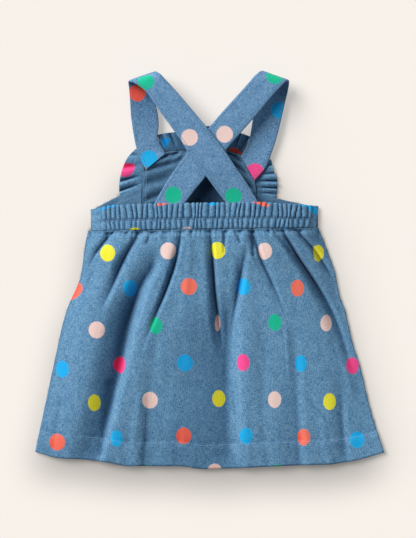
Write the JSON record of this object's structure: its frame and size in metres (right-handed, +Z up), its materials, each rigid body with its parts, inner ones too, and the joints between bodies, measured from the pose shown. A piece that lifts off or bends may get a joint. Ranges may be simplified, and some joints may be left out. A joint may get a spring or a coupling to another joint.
{
  "type": "pinafore dress",
  "caption": "Small child's pinafore dress laid flat, back up: gathered skirt, elastic back waist, crossed straps, frilled bib.",
  "frame": {"origin": "centre of the bounding box at its base, on the surface that the dress lies on", "axes": "+Y from the hem to the shoulders, +Z up off the surface through the back, +X to the right of the back view"},
  "size_m": [0.3853, 0.4385, 0.0288],
  "materials": {
    "cloth_outside": "matte printed chambray, right side",
    "cloth_inside": "matte chambray, wrong side"
  },
  "bodies": {
    "root": {"skirt_back": "cloth_outside", "skirt_front": "cloth_outside", "waistband_back": "cloth_outside", "bib": "cloth_inside", "front_side_left": "cloth_inside", "front_side_right": "cloth_inside", "frill_left": "cloth_outside", "frill_right": "cloth_outside", "frill_neck": "cloth_outside", "strap_left": "cloth_outside", "strap_right": "cloth_outside"}
  },
  "joints": []
}
